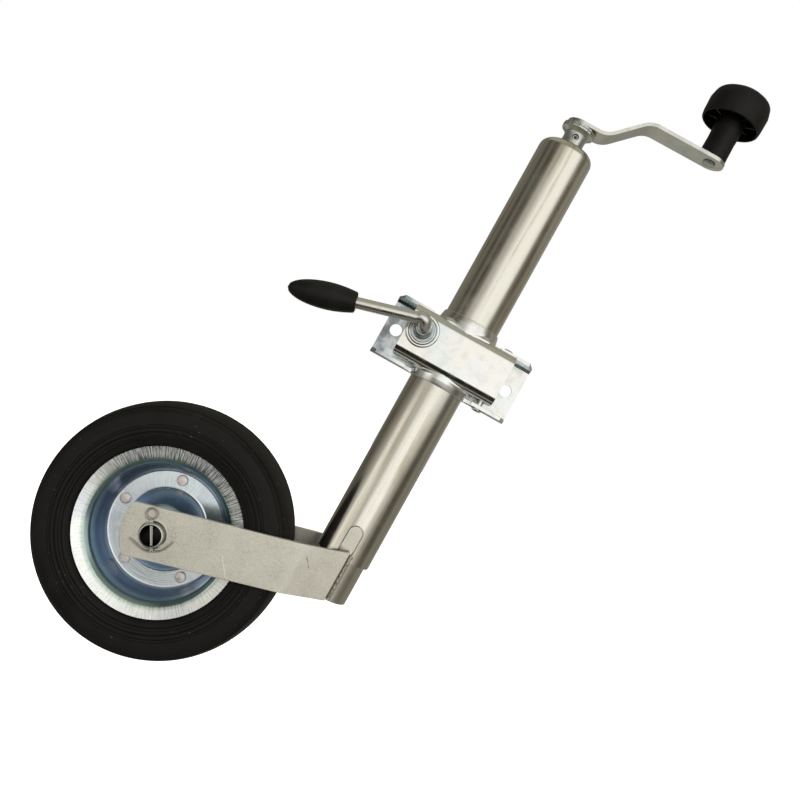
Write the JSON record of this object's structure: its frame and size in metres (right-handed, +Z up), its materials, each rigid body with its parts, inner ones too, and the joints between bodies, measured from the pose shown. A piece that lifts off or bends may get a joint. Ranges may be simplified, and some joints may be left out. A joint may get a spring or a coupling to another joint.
{
  "type": "trailer tongue jack",
  "caption": "Telescopic tongue jack with a cranked lifting screw, a forked solid tyre wheel and a bolt-on split clamp with a locking lever.",
  "frame": {"origin": "centre of the clamp base's flat rear face, which bolts against the trailer's drawbar", "axes": "+Z up along the tube, +Y out of the clamp's rear face towards the drawbar, wheel towards -X and crank knob towards +X"},
  "size_m": [0.3838, 0.107, 0.6666],
  "materials": {
    "tube_zinc": "satin zinc-plated tube with a warm grey lengthwise grain",
    "satin_zinc": "matte warm grey zinc over rolled strip",
    "bright_zinc": "bright zinc plating with a faint blue-green cast",
    "rim_zinc": "bright blue-passivated zinc over pressed sheet",
    "rivet_zinc": "pale satin rivet heads",
    "plain_steel": "oiled plain steel",
    "tyre_rubber": "solid black rubber, satin sidewall",
    "black_plastic": "moulded black plastic with a fine grain",
    "nylon": "natural nylon"
  },
  "bodies": {
    "clamp_base": {"clamp_base": "bright_zinc", "clamp_pivot_pin": "bright_zinc", "clamp_nut": "bright_zinc"},
    "clamp_cap": {"clamp_cap": "bright_zinc", "clamp_washer": "bright_zinc"},
    "lever": {"clamp_lever": "bright_zinc", "lever_grip": "black_plastic"},
    "tube": {"outer_tube": "tube_zinc", "bearing_race_upper": "plain_steel"},
    "crank": {"lifting_screw": "plain_steel", "bearing_race_lower": "plain_steel", "bearing_ball_cage": "plain_steel", "crank_boss": "bright_zinc", "roll_pin": "plain_steel", "crank_arm": "bright_zinc", "knob_pin": "plain_steel"},
    "knob": {"knob": "black_plastic"},
    "leg": {"inner_tube": "satin_zinc", "lifting_nut": "plain_steel", "key_front": "satin_zinc", "key_rear": "satin_zinc", "fork_arm_front": "satin_zinc", "fork_arm_rear": "satin_zinc", "axle": "bright_zinc", "axle_washer_front": "bright_zinc", "axle_washer_rear": "bright_zinc", "cotter_pin_front": "plain_steel", "cotter_pin_rear": "plain_steel"},
    "wheel": {"tyre": "tyre_rubber", "rim_front": "rim_zinc", "rim_rear": "rim_zinc", "rim_rivet_1": "rivet_zinc", "rim_rivet_2": "rivet_zinc", "rim_rivet_3": "rivet_zinc", "rim_rivet_4": "rivet_zinc", "rim_rivet_5": "rivet_zinc", "hub_sleeve": "plain_steel", "hub_bush_front": "nylon", "hub_bush_rear": "nylon"}
  },
  "joints": [
    {"name": "tube_slide", "type": "slide", "parent": "clamp_base", "child": "tube", "axis": [0, 0, 1], "range_m": [-0.15, 0.12]},
    {"name": "crank_turn", "type": "hinge", "parent": "tube", "child": "crank", "pos_m": [0, -0.03, 0.221], "axis": [0, 0, 1], "range_deg": [0, 14400]},
    {"name": "knob_spin", "type": "hinge", "parent": "crank", "child": "knob", "pos_m": [0.1095, -0.03, 0.28], "axis": [0, 0, 1], "continuous": true},
    {"name": "leg_extend", "type": "slide", "parent": "tube", "child": "leg", "axis": [0, 0, -1], "range_m": [0, 0.16]},
    {"name": "wheel_spin", "type": "hinge", "parent": "leg", "child": "wheel", "pos_m": [-0.141, -0.03, -0.2426], "axis": [0, 1, 0], "continuous": true},
    {"name": "lever_turn", "type": "hinge", "parent": "clamp_cap", "child": "lever", "pos_m": [-0.0327, -0.06, 0.0056], "axis": [0, -1, 0], "range_deg": [0, 540]},
    {"name": "clamp_cap_open", "type": "hinge", "parent": "clamp_base", "child": "clamp_cap", "pos_m": [0.039, -0.025, 0], "axis": [0, 0, 1], "range_deg": [0, 1.8]}
  ],
  "couplings": [
    {"joint": "leg_extend", "follows": "crank_turn", "m_per_rad": 0.00063662},
    {"joint": "clamp_cap_open", "follows": "lever_turn", "ratio": 0.0033333}
  ]
}
